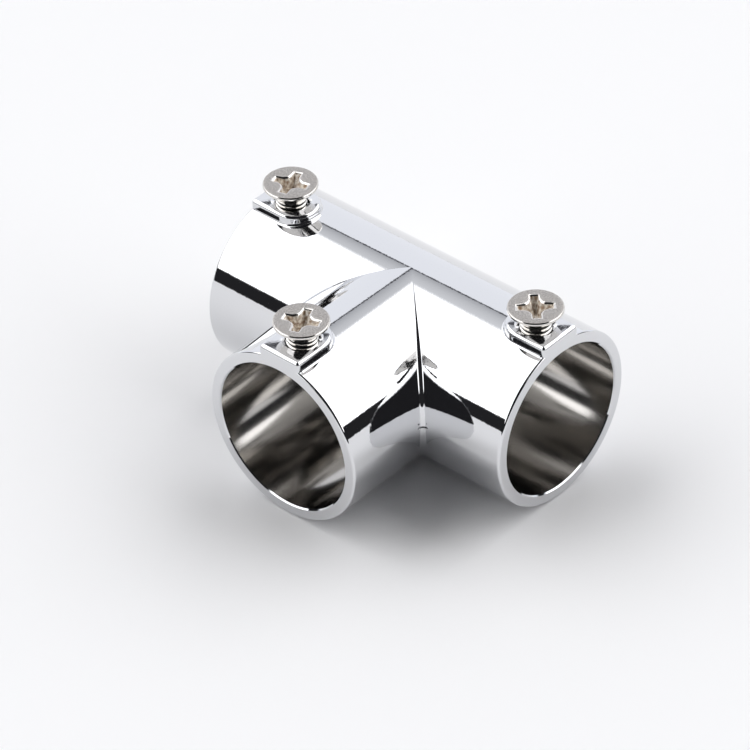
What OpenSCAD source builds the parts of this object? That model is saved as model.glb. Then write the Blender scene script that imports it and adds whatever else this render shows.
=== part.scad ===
// Three-way tube connector: one T-shaped casting with three plain sockets, each
// with a flat pad and a countersunk clamp screw that grips the tube in the socket.
// Millimetres. The origin is where the run's axis and the branch's axis cross.
// The run lies along X, the branch points towards -Y, and the screws stand up along +Z.

/* [Sockets] */
// Diameter of the bores: a 25 mm tube with room to slide in
bore_d = 25.5; // [22:0.5:32]
// Wall of the casting round each bore
wall = 2; // [1.5:0.1:3.5]
// Length of the run, mouth to mouth
run_len = 60; // [56:1:90]
// Reach of the branch, from the run's axis to its mouth
branch_reach = 30.4; // [28:0.2:50]
// Rounding of the outer edge of each mouth
mouth_round = 0.4; // [0.2:0.1:0.8]
// Chamfer of the bore at each mouth
mouth_chamfer = 0.2; // [0.1:0.1:0.8]
// Radius of the fillet in the mitre where the branch leaves the run
mitre_fillet = 0.8; // [0.5:0.1:1.5]

/* [Screw pads] */
// Width of a pad
pad_w = 8; // [7.5:0.5:10]
// Length of a pad, from the mouth's face to its round end
pad_len = 10; // [9.5:0.5:12]
// Height of a pad's flat top above the top of its tube
pad_rise = 1.2; // [0.8:0.1:2.5]
// Rounding of a pad's top edge and of its corners at the mouth
pad_round = 0.6; // [0.3:0.05:0.9]
// Radius of the fillet where a pad rises from its tube
pad_fillet = 0.5; // [0.3:0.05:0.9]
// Distance of each of the run's screws from its mouth's face
screw_inset = 5; // [4.5:0.25:5.5]
// How much longer the branch's pad is than the run's, all of it between screw and mouth
branch_pad_extra = 0.4; // [0:0.1:1.5]

/* [Clamp screws] */
// Thread's outer diameter
screw_d = 5; // [4:0.5:5.5]
// Length of a screw, head and all
screw_len = 6; // [5.5:0.5:8]
// Diameter of the head
head_d = 8.8; // [8:0.1:9.6]
// Height of the head's upright rim
head_rim = 0.45; // [0.3:0.05:0.7]
// Rounding of the head's top edge
head_round = 0.3; // [0.1:0.05:0.3]
// Height of the head's top above the pad, as the screws are left for the tubes to go in
head_stand = 3.4; // [2.6:0.05:3.6]
// Chamfer of the screw's tip
tip_chamfer = 0.4; // [0.2:0.1:0.8]
// Width of the cross recess, from arm end to arm end
recess_d = 5.8; // [5:0.1:6.2]
// Width of one arm of the recess
recess_arm = 1.2; // [0.9:0.1:1.5]
// Depth of the recess
recess_depth = 2.4; // [1.8:0.1:2.8]
// Turn of the recess in the run's right screw, in degrees
right_turn = 45; // [0:1:89]
// Turn of the recess in the run's left screw, in degrees
left_turn = 17; // [0:1:89]
// Turn of the recess in the branch's screw, in degrees
branch_turn = 21; // [0:1:89]

/* [Fits] */
// Gap all round the thread in its hole
thread_gap = 0.05; // [0.02:0.01:0.1]
// Depth and width of the 90 degree countersink that takes the head's cone
lead_in = 0.65; // [0.3:0.05:0.9]

/* [Hidden] */
$fn = 96;

bore_r = bore_d / 2;
tube_r = bore_r + wall;
pad_top = tube_r + pad_rise;
// A pad starts half a wall below the lowest line where it meets the tube.
pad_foot = sqrt(pow(tube_r, 2) - pow(pad_w / 2, 2)) - wall / 2;
pad_h = pad_top - pad_foot;
// The fillet takes at most half of the wall's least height, and the rounding what is left of it.
pad_foot_fillet = min(pad_fillet, pad_rise / 2);
pad_edge = min(pad_round, pad_rise - pad_foot_fillet);
screw_r = screw_d / 2;
head_r = head_d / 2;
head_h = head_rim + head_r - screw_r;
hole_r = screw_r + thread_gap;
head_top = pad_top + head_stand;
// How far one solid runs past another where it cuts it, or is sunk in it
past = 1;

// Each socket's turn about Z, its reach from the origin, and what its pad has over pad_len
RIGHT = [0, run_len / 2, 0];
LEFT = [180, run_len / 2, 0];
BRANCH = [-90, branch_reach, branch_pad_extra];

// Mitre fillet: steps across it, steps along it, and the angle from the side up or down
// to where the two tubes run so nearly level that it has faded out
FILLET_ACROSS = 6;
FILLET_ALONG = 28;
FILLET_END = 66;
// Pad fillet: steps across it, steps round the pad's inner end, and how far short of the
// pad's rounded corners at the mouth it stops
FOOT_ACROSS = 5;
FOOT_ALONG = 16;
FOOT_SHORT = 0.2;
// A fillet's edges are sunk this far, and its hidden root this far, into the walls.
EDGE_SUNK = 0.01;
ROOT_SUNK = 0.3;

// Puts its children at a socket's mouth: X runs out along the tube, from the mouth's face.
module at_mouth(socket) {
    rotate([0, 0, socket[0]]) translate([socket[1], 0, 0]) children();
}

// Half outline of a rod: from the Y axis out to r, up to h, with the outer top edge rounded.
module rounded_outline(r, h, edge) {
    square([r - edge, h]);
    square([r, h - edge]);
    translate([r - edge, h - edge]) circle(edge);
}

// The run outside: a round bar with both mouth edges rounded.
module run_outside() {
    rotate([0, 90, 0]) {
        cylinder(h = run_len - 2 * mouth_round, r = tube_r, center = true);
        for (end = [0, 1]) mirror([0, 0, end])
            rotate_extrude() rounded_outline(tube_r, run_len / 2, mouth_round);
    }
}

// The branch outside: a round bar from the run's axis to its rounded mouth edge.
module branch_outside() {
    rotate([90, 0, 0]) rotate_extrude() rounded_outline(tube_r, branch_reach, mouth_round);
}

// A bore's mouth: the cone that breaks its edge.
module bore_mouth(socket) {
    at_mouth(socket) translate([-mouth_chamfer, 0, 0]) rotate([0, 90, 0])
        cylinder(h = mouth_chamfer + past, r1 = bore_r, r2 = bore_r + mouth_chamfer + past);
}

// The bores: one straight through the run, and one from the branch's mouth into it.
module bores() {
    rotate([0, 90, 0]) rotate([0, 0, -90])
        cylinder(h = run_len + 2 * past, r = bore_r, center = true);
    rotate([90, 0, 0]) cylinder(h = branch_reach + past, r = bore_r);
    for (socket = [RIGHT, LEFT, BRANCH]) bore_mouth(socket);
}

// Across a pad: its width and height, with both top edges rounded.
module pad_section() {
    for (side = [0, 1]) mirror([side, 0]) rounded_outline(pad_w / 2, pad_h, pad_edge);
}

// Length of a pad's straight sides, from the mouth's face to its half-round inner end
function pad_straight(socket) = pad_len + socket[2] - pad_w / 2;

// A pad at a socket's mouth: flat on top, flush with the mouth's face, half round at its
// inner end, and rounded alike along its top edge and down its two corners at the mouth.
module pad(socket) {
    straight = pad_straight(socket);
    corner_y = pad_w / 2 - pad_edge;
    at_mouth(socket) translate([0, 0, pad_foot]) {
        translate([-straight, 0, 0]) {
            rotate([90, 0, 90]) linear_extrude(straight - pad_edge) pad_section();
            rotate([0, 0, 90]) rotate_extrude(angle = 180)
                rounded_outline(pad_w / 2, pad_h, pad_edge);
            translate([0, corner_y, 0]) rotate([90, 0, 0]) linear_extrude(2 * corner_y)
                rounded_outline(straight, pad_h, pad_edge);
        }
        for (side = [-1, 1]) translate([-pad_edge, side * corner_y, 0]) {
            cylinder(h = pad_h - pad_edge, r = pad_edge);
            translate([0, 0, pad_h - pad_edge]) sphere(pad_edge);
        }
    }
}

// The screw's hole through pad and wall, with its countersink.
module screw_hole(socket) {
    at_mouth(socket) translate([-screw_inset - socket[2], 0, 0]) {
        translate([0, 0, bore_r - past]) cylinder(h = pad_top - bore_r + 2 * past, r = hole_r);
        translate([0, 0, pad_top - lead_in])
            cylinder(h = lead_in + past, r1 = hole_r, r2 = hole_r + lead_in + past);
    }
}

// Fillets. A ball rolls along two walls: c is its centre, r its radius, and the unit vectors
// a and b point from it to the walls it touches. The ray at share k lies between a and b.
function fillet_angle(a, b) = acos(a * b);
function fillet_ray(a, b, k) =
    (sin((1 - k) * fillet_angle(a, b)) * a + sin(k * fillet_angle(a, b)) * b)
    / sin(fillet_angle(a, b));

// One cross-section: the arc on the ball with its two ends sunk, then the hidden root.
function fillet_section(c, r, a, b, steps) = concat(
    [for (i = [0 : steps])
        let (sunk = (i == 0 || i == steps) ? EDGE_SUNK : 0)
        c + (r + sunk) * fillet_ray(a, b, i / steps)],
    [c + (r + ROOT_SUNK) * b],
    [c + (r + ROOT_SUNK) / cos(fillet_angle(a, b) / 2) * fillet_ray(a, b, 1 / 2)],
    [c + (r + ROOT_SUNK) * a]);

// The solid through a row of cross-sections.
module sweep(sections) {
    count = len(sections[0]);
    last = len(sections) - 1;
    sides = [for (s = [0 : last - 1], i = [0 : count - 1])
        let (p = s * count + i, q = s * count + (i + 1) % count)
        each [[p, q, q + count], [p, q + count, p + count]]];
    // Each end is closed by triangles round the root's corner, from which all of it shows.
    root = count - 2;
    rim = [for (i = [0 : count - 1]) if (i != root && i + 1 != root) [i, (i + 1) % count]];
    near_end = [for (edge = rim) [root, edge[1], edge[0]]];
    far_end = [for (edge = rim) [for (i = [root, edge[0], edge[1]]) last * count + i]];
    polyhedron(points = [for (section = sections) each section],
        faces = concat(sides, near_end, far_end));
}

// Mitre fillet, where the branch leaves the run: one each side, from low to high on the side.
module mitre_fillets() {
    sections = [for (s = [0 : FILLET_ALONG])
        let (t = FILLET_END * (2 * s / FILLET_ALONG - 1))
        fillet_section((tube_r + mitre_fillet) * [cos(t), -cos(t), sin(t)], mitre_fillet,
            [0, cos(t), -sin(t)], [-cos(t), 0, -sin(t)], FILLET_ACROSS)];
    for (side = [0, 1]) mirror([side, 0, 0]) sweep(sections);
}

// Pad fillet: the ball rolls round the pad's foot. Here the pad's wall lies half its width
// from the point x on the middle line, and faces towards the angle t.
function foot_section(x, t) =
    let (
        out = [cos(t), sin(t)],
        ball = [x, 0] + (pad_w / 2 + pad_foot_fillet) * out,
        reach = tube_r + pad_foot_fillet,
        z = sqrt(pow(reach, 2) - pow(ball[1], 2))
    )
    fillet_section([ball[0], ball[1], z], pad_foot_fillet,
        [-out[0], -out[1], 0], [0, -ball[1], -z] / reach, FOOT_ACROSS);

// The fillet round a pad's foot, from near one corner at the mouth to near the other.
module foot_fillet(socket) {
    at_mouth(socket) sweep([
        foot_section(-pad_edge - FOOT_SHORT, -90),
        for (s = [0 : FOOT_ALONG]) foot_section(-pad_straight(socket), -90 - 180 * s / FOOT_ALONG),
        foot_section(-pad_edge - FOOT_SHORT, 90)
    ]);
}

// The casting: both tubes, the mitre fillets and the pads, bored and drilled.
module tee_body() {
    color("gainsboro") difference() {
        union() {
            run_outside();
            branch_outside();
            mitre_fillets();
            for (socket = [RIGHT, LEFT, BRANCH]) {
                pad(socket);
                foot_fillet(socket);
            }
        }
        bores();
        for (socket = [RIGHT, LEFT, BRANCH]) screw_hole(socket);
    }
}

// Cross recess: two slots whose arm ends slope in to the bottom, and the cone between them.
module recess() {
    bottom_r = recess_arm / 2;
    mouth_r = recess_d / 2;
    slope = (mouth_r - bottom_r) / recess_depth;
    translate([0, 0, -recess_depth]) {
        intersection() {
            cylinder(h = recess_depth + past, r1 = bottom_r, r2 = mouth_r + slope * past);
            for (turn = [0, 90]) rotate([0, 0, turn])
                translate([-recess_d, -recess_arm / 2, 0])
                    cube([2 * recess_d, recess_arm, recess_depth + past]);
        }
        cylinder(h = recess_depth + past, r1 = bottom_r, r2 = recess_arm + past / 4);
    }
}

// A socket's clamp screw at its rest height, with its recess turned.
module clamp_screw(socket, turn) {
    at_mouth(socket) translate([-screw_inset - socket[2], 0, head_top])
    rotate([0, 0, turn]) difference() {
        rotate_extrude() {
            translate([0, -head_rim]) rounded_outline(head_r, head_rim, head_round);
            polygon([
                [0, -screw_len],
                [screw_r - tip_chamfer, -screw_len],
                [screw_r, tip_chamfer - screw_len],
                [screw_r, -head_h],
                [head_r, -head_rim],
                [0, -head_rim]
            ]);
        }
        recess();
    }
}

module run_right_screw() { color("silver") clamp_screw(RIGHT, right_turn); }
module run_left_screw() { color("silver") clamp_screw(LEFT, left_turn); }
module branch_screw() { color("silver") clamp_screw(BRANCH, branch_turn); }

tee_body();
run_right_screw();
run_left_screw();
branch_screw();
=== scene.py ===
import math

import bmesh
import bpy
from mathutils import Matrix, Vector


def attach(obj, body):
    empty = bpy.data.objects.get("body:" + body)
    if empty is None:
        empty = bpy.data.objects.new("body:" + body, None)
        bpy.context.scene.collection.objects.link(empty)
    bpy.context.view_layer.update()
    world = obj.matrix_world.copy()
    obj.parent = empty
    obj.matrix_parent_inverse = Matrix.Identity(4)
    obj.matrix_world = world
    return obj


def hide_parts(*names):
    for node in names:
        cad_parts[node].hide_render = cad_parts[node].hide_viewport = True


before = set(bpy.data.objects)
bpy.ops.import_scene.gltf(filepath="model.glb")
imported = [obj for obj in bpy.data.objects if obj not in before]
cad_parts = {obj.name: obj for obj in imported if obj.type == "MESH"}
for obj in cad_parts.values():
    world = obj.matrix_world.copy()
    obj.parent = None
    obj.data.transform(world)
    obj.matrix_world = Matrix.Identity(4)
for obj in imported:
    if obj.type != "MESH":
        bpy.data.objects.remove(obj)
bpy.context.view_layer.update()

# The casting: one zinc die casting, three sleeves of one bore that meet at two mitres and are
# rounded there, as a ball rolled along the corner would round them. Bored and chrome plated.
TUBE_R = 0.01475
BORE_R = 0.01275
RUN_REACH = 0.030
BRANCH_REACH = 0.0304
MOUTH_CHAMFER = 0.0002
MOUTH_ROUND = 0.0004
MITRE_FILLET = 0.0008
ROUND_STEPS = 288
FILLET_STEPS = 8
EDGE_STEPS = 6
# The profile that makes a bevel a round one
ROUND = 0.5
# How far apart two points may lie and still count as one place
NEAR = 1e-6


def sleeve(reach):
    """One socket along +X: the outline of its wall spun about X, its outer mouth edge rounded."""
    bm = bmesh.new()
    outline = [
        bm.verts.new(point) for point in (
            (0, 0, BORE_R),
            (reach - MOUTH_CHAMFER, 0, BORE_R),
            (reach, 0, BORE_R + MOUTH_CHAMFER),
            (reach, 0, TUBE_R),
            (0, 0, TUBE_R),
        )
    ]
    edges = [bm.edges.new(pair) for pair in zip(outline, outline[1:])]
    bmesh.ops.spin(bm, geom=outline + edges, cent=(0, 0, 0), axis=(1, 0, 0), dvec=(0, 0, 0),
                   angle=math.tau, steps=ROUND_STEPS, use_merge=True, use_duplicate=False)
    corner = [e for e in bm.edges if all(abs(v.co.x - reach) < NEAR for v in e.verts)
              and all(v.co.yz.length > TUBE_R - NEAR for v in e.verts)]
    bmesh.ops.bevel(bm, geom=corner, offset=MOUTH_ROUND, affect="EDGES", segments=EDGE_STEPS,
                    profile=ROUND, material=-1)
    return bm


def cut(bm, normal):
    """Keeps the half of a mesh that the normal points into, from the crossing of the axes."""
    bmesh.ops.bisect_plane(bm, geom=bm.verts[:] + bm.edges[:] + bm.faces[:], dist=NEAR / 10,
                           plane_co=(0, 0, 0), plane_no=normal, clear_inner=True)


def add_to(target, bm):
    """Adds one mesh to another."""
    part = bpy.data.meshes.new("part")
    bm.to_mesh(part)
    bm.free()
    target.from_mesh(part)
    bpy.data.meshes.remove(part)


shell = bmesh.new()
right_sleeve = sleeve(RUN_REACH)
cut(right_sleeve, (1, 1, 0))
left_sleeve = right_sleeve.copy()
bmesh.ops.scale(left_sleeve, vec=(-1, 1, 1), verts=left_sleeve.verts)
branch_sleeve = sleeve(BRANCH_REACH)
bmesh.ops.rotate(branch_sleeve, cent=(0, 0, 0), matrix=Matrix.Rotation(-math.pi / 2, 3, "Z"),
                 verts=branch_sleeve.verts)
cut(branch_sleeve, (-1, -1, 0))
cut(branch_sleeve, (1, -1, 0))
for arm in (right_sleeve, left_sleeve, branch_sleeve):
    add_to(shell, arm)
bmesh.ops.remove_doubles(shell, verts=shell.verts, dist=2 * NEAR)
bmesh.ops.recalc_face_normals(shell, faces=shell.faces)

# Each edge of the outer mitres is rounded as wide as the ball's two points of touch lie apart.
weights = shell.edges.layers.float.new("bevel_weight_edge")
for edge in shell.edges:
    a, b = (v.co for v in edge.verts)
    on_mitre = all(abs(co.y + abs(co.x)) < NEAR and co.length > TUBE_R - NEAR for co in (a, b))
    if on_mitre and (a - b).length > NEAR:
        height = (a.z + b.z) / 2 / TUBE_R
        between = math.acos(min(1, height ** 2))
        edge[weights] = math.tan(between / 2)
casting_mesh = bpy.data.meshes.new("casting")
shell.to_mesh(casting_mesh)
shell.free()
casting = bpy.data.objects.new("casting", casting_mesh)
bpy.context.scene.collection.objects.link(casting)


def settle(piece):
    """Applies a piece's modifiers to its mesh."""
    bpy.context.view_layer.update()
    depsgraph = bpy.context.evaluated_depsgraph_get()
    shaped = bpy.data.meshes.new_from_object(piece.evaluated_get(depsgraph))
    piece.modifiers.clear()
    piece.data = shaped


def combine(piece, tool_bm, operation):
    """Joins a solid to a piece, or cuts it from the piece."""
    tool_mesh = bpy.data.meshes.new("tool")
    tool_bm.to_mesh(tool_mesh)
    tool_bm.free()
    tool = bpy.data.objects.new("tool", tool_mesh)
    bpy.context.scene.collection.objects.link(tool)
    boolean = piece.modifiers.new("combine", "BOOLEAN")
    boolean.operation = operation
    boolean.solver = "EXACT"
    boolean.object = tool
    settle(piece)
    bpy.data.objects.remove(tool)
    bpy.data.meshes.remove(tool_mesh)


fillet = casting.modifiers.new("mitre fillet", "BEVEL")
fillet.limit_method = "WEIGHT"
fillet.offset_type = "OFFSET"
fillet.width = MITRE_FILLET
fillet.segments = FILLET_STEPS
fillet.profile = ROUND
settle(casting)

# The pads: cast on each sleeve, D-shaped, flush with the mouth's face, very slightly crowned on
# top, rounded at the edges and filleted at the foot. Each is drilled and countersunk for its screw.
PAD_HALF_W = 0.004
PAD_TOP = 0.01595
# The height at which a pad's outline is drawn, inside the sleeve's wall
PAD_FOOT = 0.0132
# How far behind its screw the middle of a pad's round end lies
ROUND_END = 0.001
PAD_ROUND = 0.0006
PAD_FILLET = 0.0005
# The least share of its normal that a level face has along one axis
LEVEL = 0.99999
# The crown's steps from the rim inwards: how wide each is, and how much it rises
PAD_CROWN = ((0.0004, 0.000018), (0.0006, 0.000018), (0.0006, 0.000009))
BACK_STEPS = 48
# How far the foot fillet's solid ends short of the pad's mouth corner, and how deep its edges
# and its root are sunk in the walls
FOOT_SHORT = 0.0002
EDGE_SUNK = 0.00001
ROOT_SUNK = 0.0008
HOLE_R = 0.00255
LEAD_IN = 0.00065
# How far the hole's cutter reaches past the pad's top and into the bore
HOLE_PAST = 0.001
HOLE_STEPS = 96
# Each socket's turn about Z, its reach, and how far its screw stands from its mouth
RIGHT = (0, RUN_REACH, 0.005)
LEFT = (math.pi, RUN_REACH, 0.005)
BRANCH = (-math.pi / 2, BRANCH_REACH, 0.0054)


def to_socket(bm, turn, reach, inset):
    """Carries a mesh made round a screw's axis, with X running out along the tube, to a socket."""
    bmesh.ops.translate(bm, vec=(reach - inset, 0, 0), verts=bm.verts)
    bmesh.ops.rotate(bm, cent=(0, 0, 0), matrix=Matrix.Rotation(turn, 3, "Z"), verts=bm.verts)


def pad(to_face):
    """A pad round its screw's axis: its D outline drawn and raised, then its edges rounded."""
    bm = bmesh.new()
    corner = bm.verts.new((to_face, -PAD_HALF_W, PAD_FOOT))
    shoulder = bm.verts.new((-ROUND_END, -PAD_HALF_W, PAD_FOOT))
    bm.edges.new((corner, shoulder))
    bmesh.ops.spin(bm, geom=[shoulder], cent=(-ROUND_END, 0, PAD_FOOT), axis=(0, 0, -1),
                   dvec=(0, 0, 0), angle=math.pi, steps=BACK_STEPS, use_merge=False,
                   use_duplicate=False)
    far = bm.verts.new((to_face, PAD_HALF_W, PAD_FOOT))
    bm.verts.ensure_lookup_table()
    far_shoulder = Vector((-ROUND_END, PAD_HALF_W, PAD_FOOT))
    end = min(bm.verts, key=lambda v: (v.co - far_shoulder).length)
    bm.edges.new((end, far))
    bm.edges.new((far, corner))
    sole = bmesh.ops.contextual_create(bm, geom=bm.edges[:])["faces"]
    raised = bmesh.ops.extrude_face_region(bm, geom=sole)["geom"]
    top = [v for v in raised if isinstance(v, bmesh.types.BMVert)]
    bmesh.ops.translate(bm, vec=(0, 0, PAD_TOP - PAD_FOOT), verts=top)
    bmesh.ops.recalc_face_normals(bm, faces=bm.faces)
    rim = [e for e in bm.edges if all(v.co.z > PAD_TOP - NEAR for v in e.verts)]
    corners = [e for e in bm.edges if e not in rim and e.verts[0].co.z != e.verts[1].co.z
               and all(v.co.x > to_face - NEAR for v in e.verts)]
    bmesh.ops.bevel(bm, geom=rim + corners, offset=PAD_ROUND, affect="EDGES", segments=EDGE_STEPS,
                    profile=ROUND, material=-1)
    crown = [f for f in bm.faces if f.normal.z > LEVEL]
    for width, rise in PAD_CROWN:
        bmesh.ops.inset_region(bm, faces=crown, thickness=width, depth=rise, use_even_offset=True)
    return bm


def skin(rings):
    """The solid through a row of rings of points, closed at both ends."""
    bm = bmesh.new()
    loops = [[bm.verts.new(point) for point in ring] for ring in rings]
    for loop, following in zip(loops, loops[1:]):
        for k in range(len(loop)):
            bm.faces.new((loop[k - 1], loop[k], following[k], following[k - 1]))
    bm.faces.new(loops[0])
    bm.faces.new(loops[-1])
    bmesh.ops.recalc_face_normals(bm, faces=bm.faces)
    return bm


def foot_fillet(to_face):
    """The fillet at a pad's foot: a ball's arc drawn at each step of its way round, then joined."""
    near_mouth = to_face - PAD_ROUND - FOOT_SHORT
    back = [(-ROUND_END, -0.5 - step / BACK_STEPS) for step in range(BACK_STEPS + 1)]
    stations = [(near_mouth, -0.5), *back, (near_mouth, 0.5)]
    rings = []
    for x, half_turns in stations:
        out = Vector((math.cos(half_turns * math.pi), math.sin(half_turns * math.pi), 0))
        ball = Vector((x, 0, 0)) + (PAD_HALF_W + PAD_FILLET) * out
        ball.z = math.sqrt((TUBE_R + PAD_FILLET) ** 2 - ball.y ** 2)
        to_tube = Vector((0, -ball.y, -ball.z)).normalized()
        arc = [(-out).slerp(to_tube, k / FILLET_STEPS) for k in range(FILLET_STEPS + 1)]
        reach = [PAD_FILLET + (EDGE_SUNK if k in (0, FILLET_STEPS) else 0)
                 for k in range(FILLET_STEPS + 1)]
        halfway = arc[FILLET_STEPS // 2]
        root = ROOT_SUNK / arc[0].dot(halfway)
        rays = [*zip(arc, reach), (to_tube, ROOT_SUNK), (halfway, root), (-out, ROOT_SUNK)]
        rings.append([ball + ray * length for ray, length in rays])
    return skin(rings)


def screw_hole():
    """A screw's hole: its outline, with the countersink, spun about the screw's axis."""
    bm = bmesh.new()
    outline = [
        bm.verts.new(point) for point in (
            (0, 0, BORE_R - HOLE_PAST),
            (HOLE_R, 0, BORE_R - HOLE_PAST),
            (HOLE_R, 0, PAD_TOP - LEAD_IN),
            (HOLE_R + LEAD_IN + HOLE_PAST, 0, PAD_TOP + HOLE_PAST),
            (0, 0, PAD_TOP + HOLE_PAST),
        )
    ]
    edges = [bm.edges.new(pair) for pair in zip(outline, outline[1:])]
    bmesh.ops.spin(bm, geom=outline + edges, cent=(0, 0, 0), axis=(0, 0, 1), dvec=(0, 0, 0),
                   angle=math.tau, steps=HOLE_STEPS, use_merge=True, use_duplicate=False)
    bmesh.ops.remove_doubles(bm, verts=bm.verts, dist=NEAR)
    bmesh.ops.recalc_face_normals(bm, faces=bm.faces)
    return bm


for turn, reach, inset in (RIGHT, LEFT, BRANCH):
    for form, operation in ((pad(inset), "UNION"), (foot_fillet(inset), "UNION"),
                            (screw_hole(), "DIFFERENCE")):
        to_socket(form, turn, reach, inset)
        combine(casting, form, operation)

# The parting line: the die's halves met at mid height, and the fine ridge that they left
# stays across each mitre's fillet, where no polishing wheel reaches.
RIDGE_R = 0.0002
RIDGE_TIP_R = 0.3 * RIDGE_R
RIDGE_END = 0.0003
RIDGE_STEPS = 9
RIDGE_SIDES = 12


def parting_ridge(side):
    """A fine half-sunk ridge across one mitre's fillet and a little way onto both walls."""
    ball = (TUBE_R + MITRE_FILLET) * Vector((1, -1, 0))
    bend = [(90 + 90 / RIDGE_STEPS * step, (0, 0, 0), RIDGE_R) for step in range(RIDGE_STEPS + 1)]
    stations = [(90, (RIDGE_END, 0, 0), RIDGE_TIP_R), *bend, (180, (0, -RIDGE_END, 0), RIDGE_TIP_R)]
    rings = []
    for degrees, past, radius in stations:
        turn = math.radians(degrees)
        out = Vector((math.cos(turn), math.sin(turn), 0))
        centre = ball + MITRE_FILLET * out + Vector(past)
        ring = [centre + radius * (math.cos(t) * out + Vector((0, 0, math.sin(t))))
                for t in (math.tau * k / RIDGE_SIDES for k in range(RIDGE_SIDES))]
        rings.append([(side * point.x, point.y, point.z) for point in ring])
    return skin(rings)


for side in (1, -1):
    combine(casting, parting_ridge(side), "UNION")

# The polish: the cast walls were ground and buffed true before plating, so each of them is
# given its exact normal, and the roundings between them run smoothly into it.
RUN_WALL, BRANCH_WALL, RUN_BORE, BRANCH_BORE, FLAT, BLEND = range(6)
# How near a wall's radius and its normal a face must be to belong to the wall
WALL_NEAR = 0.00002
WALL_FACING = 0.9995
# The least area of a face that counts as a flat wall
FLAT_AREA = 5e-8
SHARP_CORNER = math.radians(32)
# How near a corner's own normal a wall's must be for the polish to join them
JOINED = 0.9


def wall_of(face):
    """Which wall of the casting a face belongs to."""
    centre, normal = face.center, face.normal
    on_branch = centre.y < -abs(centre.x)
    radial = Vector((centre.x if on_branch else 0, 0 if on_branch else centre.y, centre.z))
    facing = normal.dot(radial.normalized())
    if abs(radial.length - TUBE_R) < WALL_NEAR and facing > WALL_FACING:
        return BRANCH_WALL if on_branch else RUN_WALL
    if abs(radial.length - BORE_R) < WALL_NEAR and facing < -WALL_FACING:
        return BRANCH_BORE if on_branch else RUN_BORE
    if max(abs(c) for c in normal) > LEVEL and face.area > FLAT_AREA:
        return FLAT
    return BLEND


def true_normal(wall, co, face_normal):
    """The exact normal of a wall at a point."""
    if wall == FLAT:
        return face_normal.copy()
    on_branch = wall in (BRANCH_WALL, BRANCH_BORE)
    radial = Vector((co.x if on_branch else 0, 0 if on_branch else co.y, co.z))
    return -radial.normalized() if wall in (RUN_BORE, BRANCH_BORE) else radial.normalized()


def polish(mesh):
    """Sets the true normals, and lets each rounding run smoothly into the walls beside it."""
    mesh.shade_smooth()
    mesh.set_sharp_from_angle(angle=SHARP_CORNER)
    walls = [wall_of(face) for face in mesh.polygons]
    beside = {}
    for face, wall in zip(mesh.polygons, walls):
        if wall != BLEND:
            for vertex in face.vertices:
                beside.setdefault(vertex, []).append(
                    true_normal(wall, mesh.vertices[vertex].co, face.normal))
    normals = [corner.vector.copy() for corner in mesh.corner_normals]
    for face, wall in zip(mesh.polygons, walls):
        for loop in face.loop_indices:
            vertex = mesh.loops[loop].vertex_index
            if wall != BLEND:
                normals[loop] = true_normal(wall, mesh.vertices[vertex].co, face.normal)
                continue
            near = [n for n in beside.get(vertex, []) if n.dot(normals[loop]) > JOINED]
            if near:
                normals[loop] = max(near, key=lambda n: n.dot(normals[loop]))
    mesh.normals_split_custom_set(normals)
    return walls


walls = polish(casting.data)

# The plating: bright chrome outside, thinner and duller in the bores, where the cores that
# shaped them were drawn out and left fine lines along the tube.
CHROME = (0.72, 0.725, 0.74, 1)
BORE_CHROME = (0.50, 0.485, 0.465, 1)
CHROME_ROUGHNESS = 0.03
BORE_ROUGHNESS = 0.14
PEEL_SCALE = 2600
PEEL_DEPTH = 0.000003
LINE_SCALE = 1500
LINE_STRETCH = 0.03
LINE_DEPTH = 0.000006


def metal(name, roughness, metallic):
    """A new metal, its node tree and its shader."""
    material = bpy.data.materials.new(name)
    material.use_nodes = True
    tree = material.node_tree
    shader = tree.nodes["Principled BSDF"]
    shader.inputs["Metallic"].default_value = metallic
    shader.inputs["Roughness"].default_value = roughness
    return material, tree, shader


def noise(tree, place, scale, detail):
    """A noise over a place in space, or along a single number."""
    texture = tree.nodes.new("ShaderNodeTexNoise")
    texture.noise_dimensions = "1D" if place.type == "VALUE" else "3D"
    texture.inputs["Scale"].default_value = scale
    texture.inputs["Detail"].default_value = detail
    tree.links.new(place, texture.inputs["W" if place.type == "VALUE" else "Vector"])
    return texture.outputs["Fac"]


def relief(tree, height, depth, under=None):
    """A bump of a depth, laid over the one under it."""
    bump = tree.nodes.new("ShaderNodeBump")
    bump.inputs["Strength"].default_value = 1
    bump.inputs["Distance"].default_value = depth
    tree.links.new(height, bump.inputs["Height"])
    if under is not None:
        tree.links.new(under, bump.inputs["Normal"])
    return bump.outputs["Normal"]


def plating(name, colour, roughness, along=None):
    """Chrome on a casting: a faint orange peel, and drawn lines along a bore."""
    material, tree, shader = metal(name, roughness, metallic=1)
    shader.inputs["Base Color"].default_value = colour
    place = tree.nodes.new("ShaderNodeTexCoord").outputs["Object"]
    surface = relief(tree, noise(tree, place, PEEL_SCALE, detail=2), PEEL_DEPTH)
    if along:
        stretch = tree.nodes.new("ShaderNodeMapping")
        stretch.inputs["Scale"].default_value = along
        tree.links.new(place, stretch.inputs["Vector"])
        drawn = noise(tree, stretch.outputs["Vector"], LINE_SCALE, detail=3)
        surface = relief(tree, drawn, LINE_DEPTH, surface)
    tree.links.new(surface, shader.inputs["Normal"])
    return material


casting.data.materials.clear()
for finish in (plating("bright_chrome", CHROME, CHROME_ROUGHNESS),
               plating("run_bore_chrome", BORE_CHROME, BORE_ROUGHNESS, (LINE_STRETCH, 1, 1)),
               plating("branch_bore_chrome", BORE_CHROME, BORE_ROUGHNESS, (1, LINE_STRETCH, 1))):
    casting.data.materials.append(finish)
for face, wall in zip(casting.data.polygons, walls):
    face.material_index = {RUN_BORE: 1, BRANCH_BORE: 2}.get(wall, 0)
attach(casting, "casting")
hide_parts("tee_body")

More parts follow.
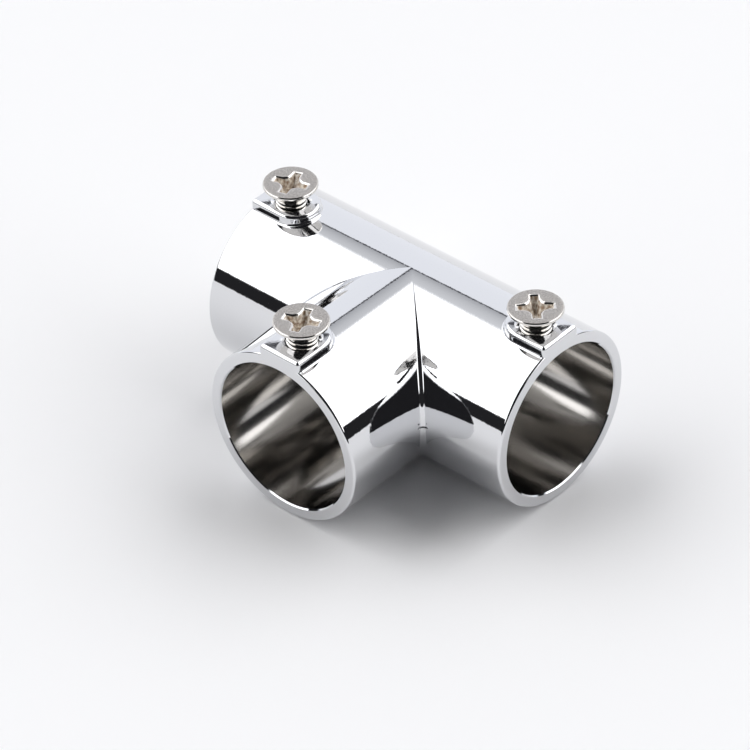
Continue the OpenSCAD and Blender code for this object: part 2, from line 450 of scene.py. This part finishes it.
# The clamp screws: countersunk M5 machine screws of nickel-plated steel, turned, rolled and
# stamped with a cross recess. Each stands in its pad, about one turn short of its tube.
HEAD_R = 0.0044
HEAD_RIM = 0.00045
HEAD_ROUND = 0.0003
SCREW_R = 0.0025
SCREW_LEN = 0.006
TIP_CHAMFER = 0.0004
THREAD_ROOT_R = 0.00205
THREAD_MID_R = 0.0023
THREAD_PITCH = 0.0008
THREAD_TURNS = 4.5
THREAD_SUNK = 0.00005
# One side of the thread's V, from root to crest: radii, and shares of the pitch from its middle
THREAD_SIDE = ((THREAD_ROOT_R - THREAD_SUNK, 0.45), (THREAD_MID_R, 0.27), (SCREW_R, 0.09))
TURN_STEPS = 64
BODY_STEPS = 128
HEAD_TOP = 0.01935
SHARP_EDGE = math.radians(35)
# How far over its rounding the head's top is still satin
SATIN_TURN = math.radians(31)
# The outline of a quarter of the cross, then each level's depth and its share of that outline
RECESS_QUARTER = ((0.00290, 0.00062), (0.0017, 0.00066), (0.00105, 0.00105), (0.00066, 0.0017),
                  (0.00062, 0.00290))
RECESS_LEVELS = ((0.0012, 0.66), (0.0023, 0.34))
RECESS_LIP = 0.00025
LIP_STEPS = 3
# Where in its noise a grain turns from dark to light
GRAIN_STOPS = (0.36, 0.64)
RING_SCALE = 4000
# The last of these slots is near-black nickel: painted shade in the thread's roots
POLISHED, SATIN, STAINED, ROOT_SHADE = range(4)


def screw_blank():
    """A screw's body, its axis along Z and its head's top at 0, open where the recess comes."""
    bm = bmesh.new()
    rounding = [(HEAD_R - HEAD_ROUND * (1 - math.sin(turn)), HEAD_ROUND * (math.cos(turn) - 1))
                for turn in (math.radians(90 / EDGE_STEPS * k) for k in range(EDGE_STEPS + 1))]
    outline = [
        bm.verts.new((r, 0, z)) for r, z in (
            *rounding,
            (HEAD_R, -HEAD_RIM),
            (THREAD_ROOT_R, -HEAD_RIM - (HEAD_R - THREAD_ROOT_R)),
            (THREAD_ROOT_R, TIP_CHAMFER - SCREW_LEN),
            (THREAD_ROOT_R - TIP_CHAMFER, -SCREW_LEN),
        )
    ]
    edges = [bm.edges.new(pair) for pair in zip(outline, outline[1:])]
    bmesh.ops.spin(bm, geom=outline + edges, cent=(0, 0, 0), axis=(0, 0, 1), dvec=(0, 0, 0),
                   angle=math.tau, steps=BODY_STEPS, use_merge=True, use_duplicate=False)
    tip = [e for e in bm.edges if all(v.co.z < NEAR - SCREW_LEN for v in e.verts)]
    bmesh.ops.contextual_create(bm, geom=tip)
    for face in bm.faces:
        if min(v.co.z for v in face.verts) > HEAD_ROUND * (math.cos(SATIN_TURN) - 1):
            face.material_index = SATIN
    return bm


def stamp_recess(bm, turn):
    """Stamps the cross into the head: its outline, its sloping walls and its broken edge."""
    rim = [e for e in bm.edges if e.is_boundary]
    quarter = [bm.verts.new((x, y, 0)) for x, y in RECESS_QUARTER]
    edges = [bm.edges.new(pair) for pair in zip(quarter, quarter[1:])]
    known = set(bm.edges) - set(edges)
    bmesh.ops.spin(bm, geom=quarter + edges, cent=(0, 0, 0), axis=(0, 0, 1), dvec=(0, 0, 0),
                   angle=math.tau * 3 / 4, steps=3, use_merge=False, use_duplicate=True)
    cross_edges = [e for e in bm.edges if e not in known]
    corners = dict.fromkeys(v for e in cross_edges for v in e.verts)
    open_ends = [v for v in corners if len(v.link_edges) == 1]
    while open_ends:
        first = open_ends.pop()
        other = min(open_ends, key=lambda v: (v.co - first.co).length)
        open_ends.remove(other)
        cross_edges.append(bm.edges.new((first, other)))
    bmesh.ops.rotate(bm, cent=(0, 0, 0), matrix=Matrix.Rotation(turn, 3, "Z"),
                     verts=list({v for e in cross_edges for v in e.verts}))
    flat = bmesh.ops.triangle_fill(bm, use_beauty=True, use_dissolve=False,
                                   edges=rim + cross_edges, normal=(0, 0, 1))["geom"]
    for face in flat:
        if isinstance(face, bmesh.types.BMFace):
            face.material_index = SATIN
    lip = walls = cross_edges
    level, width = 0, 1
    for depth, share in RECESS_LEVELS:
        grown = bmesh.ops.extrude_edge_only(bm, edges=walls)["geom"]
        lower = {v for v in grown if isinstance(v, bmesh.types.BMVert)}
        walls = [e for e in grown
                 if isinstance(e, bmesh.types.BMEdge) and lower.issuperset(e.verts)]
        for face in grown:
            if isinstance(face, bmesh.types.BMFace):
                face.material_index = STAINED
        bmesh.ops.scale(bm, vec=(share / width, share / width, 1), verts=list(lower))
        bmesh.ops.translate(bm, vec=(0, 0, level - depth), verts=list(lower))
        level, width = depth, share
    for face in bmesh.ops.contextual_create(bm, geom=walls)["faces"]:
        face.material_index = STAINED
    bmesh.ops.recalc_face_normals(bm, faces=bm.faces)
    bmesh.ops.bevel(bm, geom=lip, offset=RECESS_LIP, affect="EDGES", segments=LIP_STEPS,
                    profile=ROUND, material=POLISHED)


def add_thread(bm):
    """The rolled thread: its V drawn once and spun down the shank by one pitch a turn."""
    start = -HEAD_RIM - (HEAD_R - SCREW_R)
    upper = [(r, 0, start + THREAD_PITCH * share) for r, share in THREAD_SIDE]
    lower = [(r, 0, start - THREAD_PITCH * share) for r, share in reversed(THREAD_SIDE)]
    ridge = bm.faces.new([bm.verts.new(point) for point in upper + lower])
    bmesh.ops.spin(bm, geom=[ridge], cent=(0, 0, 0), axis=(0, 0, 1),
                   dvec=(0, 0, -THREAD_PITCH / TURN_STEPS), angle=math.tau * THREAD_TURNS,
                   steps=int(TURN_STEPS * THREAD_TURNS), use_merge=False, use_duplicate=False)
    # The thread's roots and the flanks next to them take the near-black nickel: painted shade
    # between the turns
    for face in bm.faces:
        radii = [v.co.xy.length for v in face.verts]
        if min(radii) < THREAD_ROOT_R + 10 * NEAR and face.calc_center_median().z < start:
            face.material_index = ROOT_SHADE


def nickel(name, dark, light, roughness, metallic, grain, depth, turned):
    """Nickel-plated steel: a grain of a scale and a depth, and turning marks round the axis."""
    material, tree, shader = metal(name, roughness, metallic)
    place = tree.nodes.new("ShaderNodeAttribute")
    place.attribute_name = "from_axis"
    speckle = noise(tree, place.outputs["Vector"], grain, detail=4)
    shade = tree.nodes.new("ShaderNodeValToRGB")
    for stop, position, colour in zip(shade.color_ramp.elements, GRAIN_STOPS, (dark, light)):
        stop.position = position
        stop.color = colour
    tree.links.new(speckle, shade.inputs["Fac"])
    tree.links.new(shade.outputs["Color"], shader.inputs["Base Color"])
    from_axis = tree.nodes.new("ShaderNodeVectorMath")
    from_axis.operation = "LENGTH"
    tree.links.new(place.outputs["Vector"], from_axis.inputs[0])
    rings = noise(tree, from_axis.outputs["Value"], RING_SCALE, detail=3)
    surface = relief(tree, rings, turned, relief(tree, speckle, depth))
    tree.links.new(surface, shader.inputs["Normal"])
    return material


# In the order of POLISHED, SATIN, STAINED and the painted shade of the thread's roots
screw_metals = (
    nickel("polished_nickel", (0.66, 0.64, 0.61, 1), (0.74, 0.72, 0.69, 1), roughness=0.10,
           metallic=1, grain=2500, depth=0.000004, turned=0.000004),
    nickel("satin_nickel", (0.28, 0.265, 0.25, 1), (0.57, 0.54, 0.515, 1), roughness=0.38,
           metallic=1, grain=4800, depth=0.000011, turned=0.000010),
    nickel("stained_nickel", (0.36, 0.26, 0.18, 1), (1.0, 0.96, 0.88, 1), roughness=0.30,
           metallic=0.35, grain=1800, depth=0.000040, turned=0),
    # Near-black for the thread's roots: painted shade between the turns, not a finish of the steel
    nickel("root_shade_nickel", (0.04, 0.04, 0.04, 1), (0.10, 0.10, 0.09, 1), roughness=0.35,
           metallic=1, grain=2500, depth=0.000004, turned=0),
)


def clamp_screw(name, body, node, socket, turn):
    """Makes one screw and stands it in its pad."""
    bm = screw_blank()
    stamp_recess(bm, turn)
    add_thread(bm)
    bmesh.ops.recalc_face_normals(bm, faces=bm.faces)
    from_axis = bm.verts.layers.float_vector.new("from_axis")
    for vert in bm.verts:
        vert[from_axis] = vert.co
    bmesh.ops.translate(bm, vec=(0, 0, HEAD_TOP), verts=bm.verts)
    to_socket(bm, *socket)
    mesh = bpy.data.meshes.new(name)
    bm.to_mesh(mesh)
    bm.free()
    mesh.shade_smooth()
    mesh.set_sharp_from_angle(angle=SHARP_EDGE)
    for finish in screw_metals:
        mesh.materials.append(finish)
    screw = bpy.data.objects.new(name, mesh)
    bpy.context.scene.collection.objects.link(screw)
    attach(screw, body)
    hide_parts(node)


clamp_screw("right_clamp_screw", "right_clamp", "run_right_screw", RIGHT, math.radians(45))
clamp_screw("left_clamp_screw", "left_clamp", "run_left_screw", LEFT, math.radians(17))
clamp_screw("branch_clamp_screw", "branch_clamp", "branch_screw", BRANCH, math.radians(21))

# The floor: a broad sheet of plain matt paper, which the connector lies on, loose. It is only
# the stage for the picture, not a part of the object.
FLOOR_SPAN = 3.0
PAPER = (0.93, 0.93, 0.935, 1)
PAPER_ROUGHNESS = 0.9
floor_bm = bmesh.new()
bmesh.ops.create_grid(floor_bm, x_segments=1, y_segments=1, size=FLOOR_SPAN / 2)
bmesh.ops.translate(floor_bm, vec=(0, 0, -TUBE_R), verts=floor_bm.verts)
floor_mesh = bpy.data.meshes.new("floor")
floor_bm.to_mesh(floor_mesh)
floor_bm.free()
floor_paper = bpy.data.materials.new("pale_paper")
floor_paper.use_nodes = True
paper_shader = floor_paper.node_tree.nodes["Principled BSDF"]
paper_shader.inputs["Base Color"].default_value = PAPER
paper_shader.inputs["Roughness"].default_value = PAPER_ROUGHNESS
paper_shader.inputs["Specular IOR Level"].default_value = 0
floor_mesh.materials.append(floor_paper)
floor = bpy.data.objects.new("floor", floor_mesh)
bpy.context.scene.collection.objects.link(floor)

# The studio: two broad white lights, overhead to the left and right, with a dark aisle
# between them that widens towards the camera, a pale back wall, and an unlit gap low down.
# The studio's directions, away from the camera and to its right
BACK = (-0.6787, 0.7344, 0)
RIGHTWARD = (0.7344, 0.6787, 0)
LIGHT = (2.2, 2.2, 2.22, 1)
UNLIT = (0.02, 0.02, 0.022, 1)
BACK_WALL = (1.03, 1.05, 1.11, 1)
SEAM = (0.08, 0.08, 0.09, 1)
BELOW = (0.95, 0.95, 0.96, 1)
# What shows in the aisle, from overhead to the back: where it starts on the ramp, and its colour
AISLE = ((0.1, UNLIT), (0.28, (0.86, 0.87, 0.90, 1)), (0.40, (0.68, 0.69, 0.72, 1)),
         (0.494, (0.50, 0.51, 0.54, 1)), (0.500, SEAM), (0.518, SEAM), (0.526, BACK_WALL))
# How much of the ramp a metre towards the back takes up
AISLE_RAMP = 0.4
# The aisle's half width at the back, what it gains towards the camera, and where it does so
AISLE_HALF = 0.185
AISLE_GAIN = 0.485
AISLE_OPENS = (-0.35, 0.45)
# Where the lights' sides fade at the aisle, and where they end towards the back
LIGHT_EDGE = (-0.035, 0.035)
LIGHT_END = (1.24, 1.27)
# The unlit gap: how high up it ends, and how far round to the back
GAP_TOP = (0.225, 0.245)
GAP_END = (0.45, 0.5)
HORIZON = (-0.01, 0.0)
# The least rise for which a ray is followed to the ceiling
LEAST_UP = 0.02
# The sockets of a mix of colours, which share their names with others of its node
MIX_SHARE, MIX_A, MIX_B, MIX_RESULT = 0, 6, 7, 2
studio = bpy.data.worlds.new("studio")
bpy.context.scene.world = studio
studio.use_nodes = True
sky_nodes, sky_links = studio.node_tree.nodes, studio.node_tree.links
direction = sky_nodes.new("ShaderNodeTexCoord").outputs["Generated"]


def sky_math(operation, *values):
    """One step of arithmetic on numbers of the sky."""
    node = sky_nodes.new("ShaderNodeMath")
    node.operation = operation
    for entry, value in zip(node.inputs, values):
        if isinstance(value, (int, float)):
            entry.default_value = value
        else:
            sky_links.new(value, entry)
    return node.outputs["Value"]


def sky_part(axis):
    """How much of a ray's direction lies along an axis."""
    node = sky_nodes.new("ShaderNodeVectorMath")
    node.operation = "DOT_PRODUCT"
    node.inputs[1].default_value = axis
    sky_links.new(direction, node.inputs[0])
    return node.outputs["Value"]


def sky_step(limits, value):
    """0 below the first limit, 1 above the second, and a smooth step between them."""
    node = sky_nodes.new("ShaderNodeMapRange")
    node.interpolation_type = "SMOOTHSTEP"
    node.inputs["From Min"].default_value, node.inputs["From Max"].default_value = limits
    sky_links.new(value, node.inputs["Value"])
    return node.outputs["Result"]


def sky_fall(limits, value):
    """1 below the first limit, 0 above the second."""
    return sky_math("SUBTRACT", 1.0, sky_step(limits, value))


def sky_mix(share, a, b):
    """Mixes two colours of the sky."""
    node = sky_nodes.new("ShaderNodeMix")
    node.data_type = "RGBA"
    sky_links.new(share, node.inputs[MIX_SHARE])
    for entry, value in ((node.inputs[MIX_A], a), (node.inputs[MIX_B], b)):
        if isinstance(value, tuple):
            entry.default_value = value
        else:
            sky_links.new(value, entry)
    return node.outputs[MIX_RESULT]


up = sky_part((0, 0, 1))
back = sky_part(BACK)
aside = sky_math("ABSOLUTE", sky_part(RIGHTWARD))
# How far behind the object a ray would meet a ceiling one metre up
reach_back = sky_math("DIVIDE", back, sky_math("MAXIMUM", up, LEAST_UP))
aisle = sky_nodes.new("ShaderNodeValToRGB")
for stop, (position, colour) in zip(aisle.color_ramp.elements, AISLE):
    stop.position = position
    stop.color = colour
for position, colour in AISLE[2:]:
    aisle.color_ramp.elements.new(position).color = colour
sky_links.new(sky_math("MULTIPLY", reach_back, AISLE_RAMP), aisle.inputs["Fac"])
forward = sky_math("MULTIPLY", back, -1.0)
half_aisle = sky_math("MULTIPLY_ADD", sky_step(AISLE_OPENS, forward), AISLE_GAIN, AISLE_HALF)
lit = sky_math("MULTIPLY", sky_step(LIGHT_EDGE, sky_math("SUBTRACT", aside, half_aisle)),
               sky_fall(LIGHT_END, reach_back))
sky = sky_mix(lit, aisle.outputs["Color"], LIGHT)
sky = sky_mix(sky_math("MULTIPLY", sky_fall(GAP_TOP, up), sky_fall(GAP_END, back)), sky, UNLIT)
sky = sky_mix(sky_step(HORIZON, up), BELOW, sky)
sky_links.new(sky, sky_nodes["Background"].inputs["Color"])
sky_nodes["Background"].inputs["Strength"].default_value = 1

# The camera: a long lens on the photograph's line of sight, 0.73 m from the connector's middle,
# turned, raised and rolled as the photograph's own was.
CAMERA_LENS = 224.86
CAMERA_SENSOR = 36
CAMERA_TURN = math.radians(42.746)
CAMERA_HEIGHT = math.radians(38.252)
CAMERA_ROLL = math.radians(-1.924)
CAMERA_AT = (0.3870, -0.4278, 0.4486)
camera_data = bpy.data.cameras.new("camera")
camera_data.lens = CAMERA_LENS
camera_data.sensor_width = CAMERA_SENSOR
camera = bpy.data.objects.new("camera", camera_data)
camera.matrix_world = (Matrix.Translation(CAMERA_AT) @ Matrix.Rotation(CAMERA_TURN, 4, "Z")
                       @ Matrix.Rotation(math.pi / 2 - CAMERA_HEIGHT, 4, "X")
                       @ Matrix.Rotation(CAMERA_ROLL, 4, "Z"))
bpy.context.scene.collection.objects.link(camera)
bpy.context.scene.camera = camera
bpy.context.scene.view_settings.view_transform = "Standard"
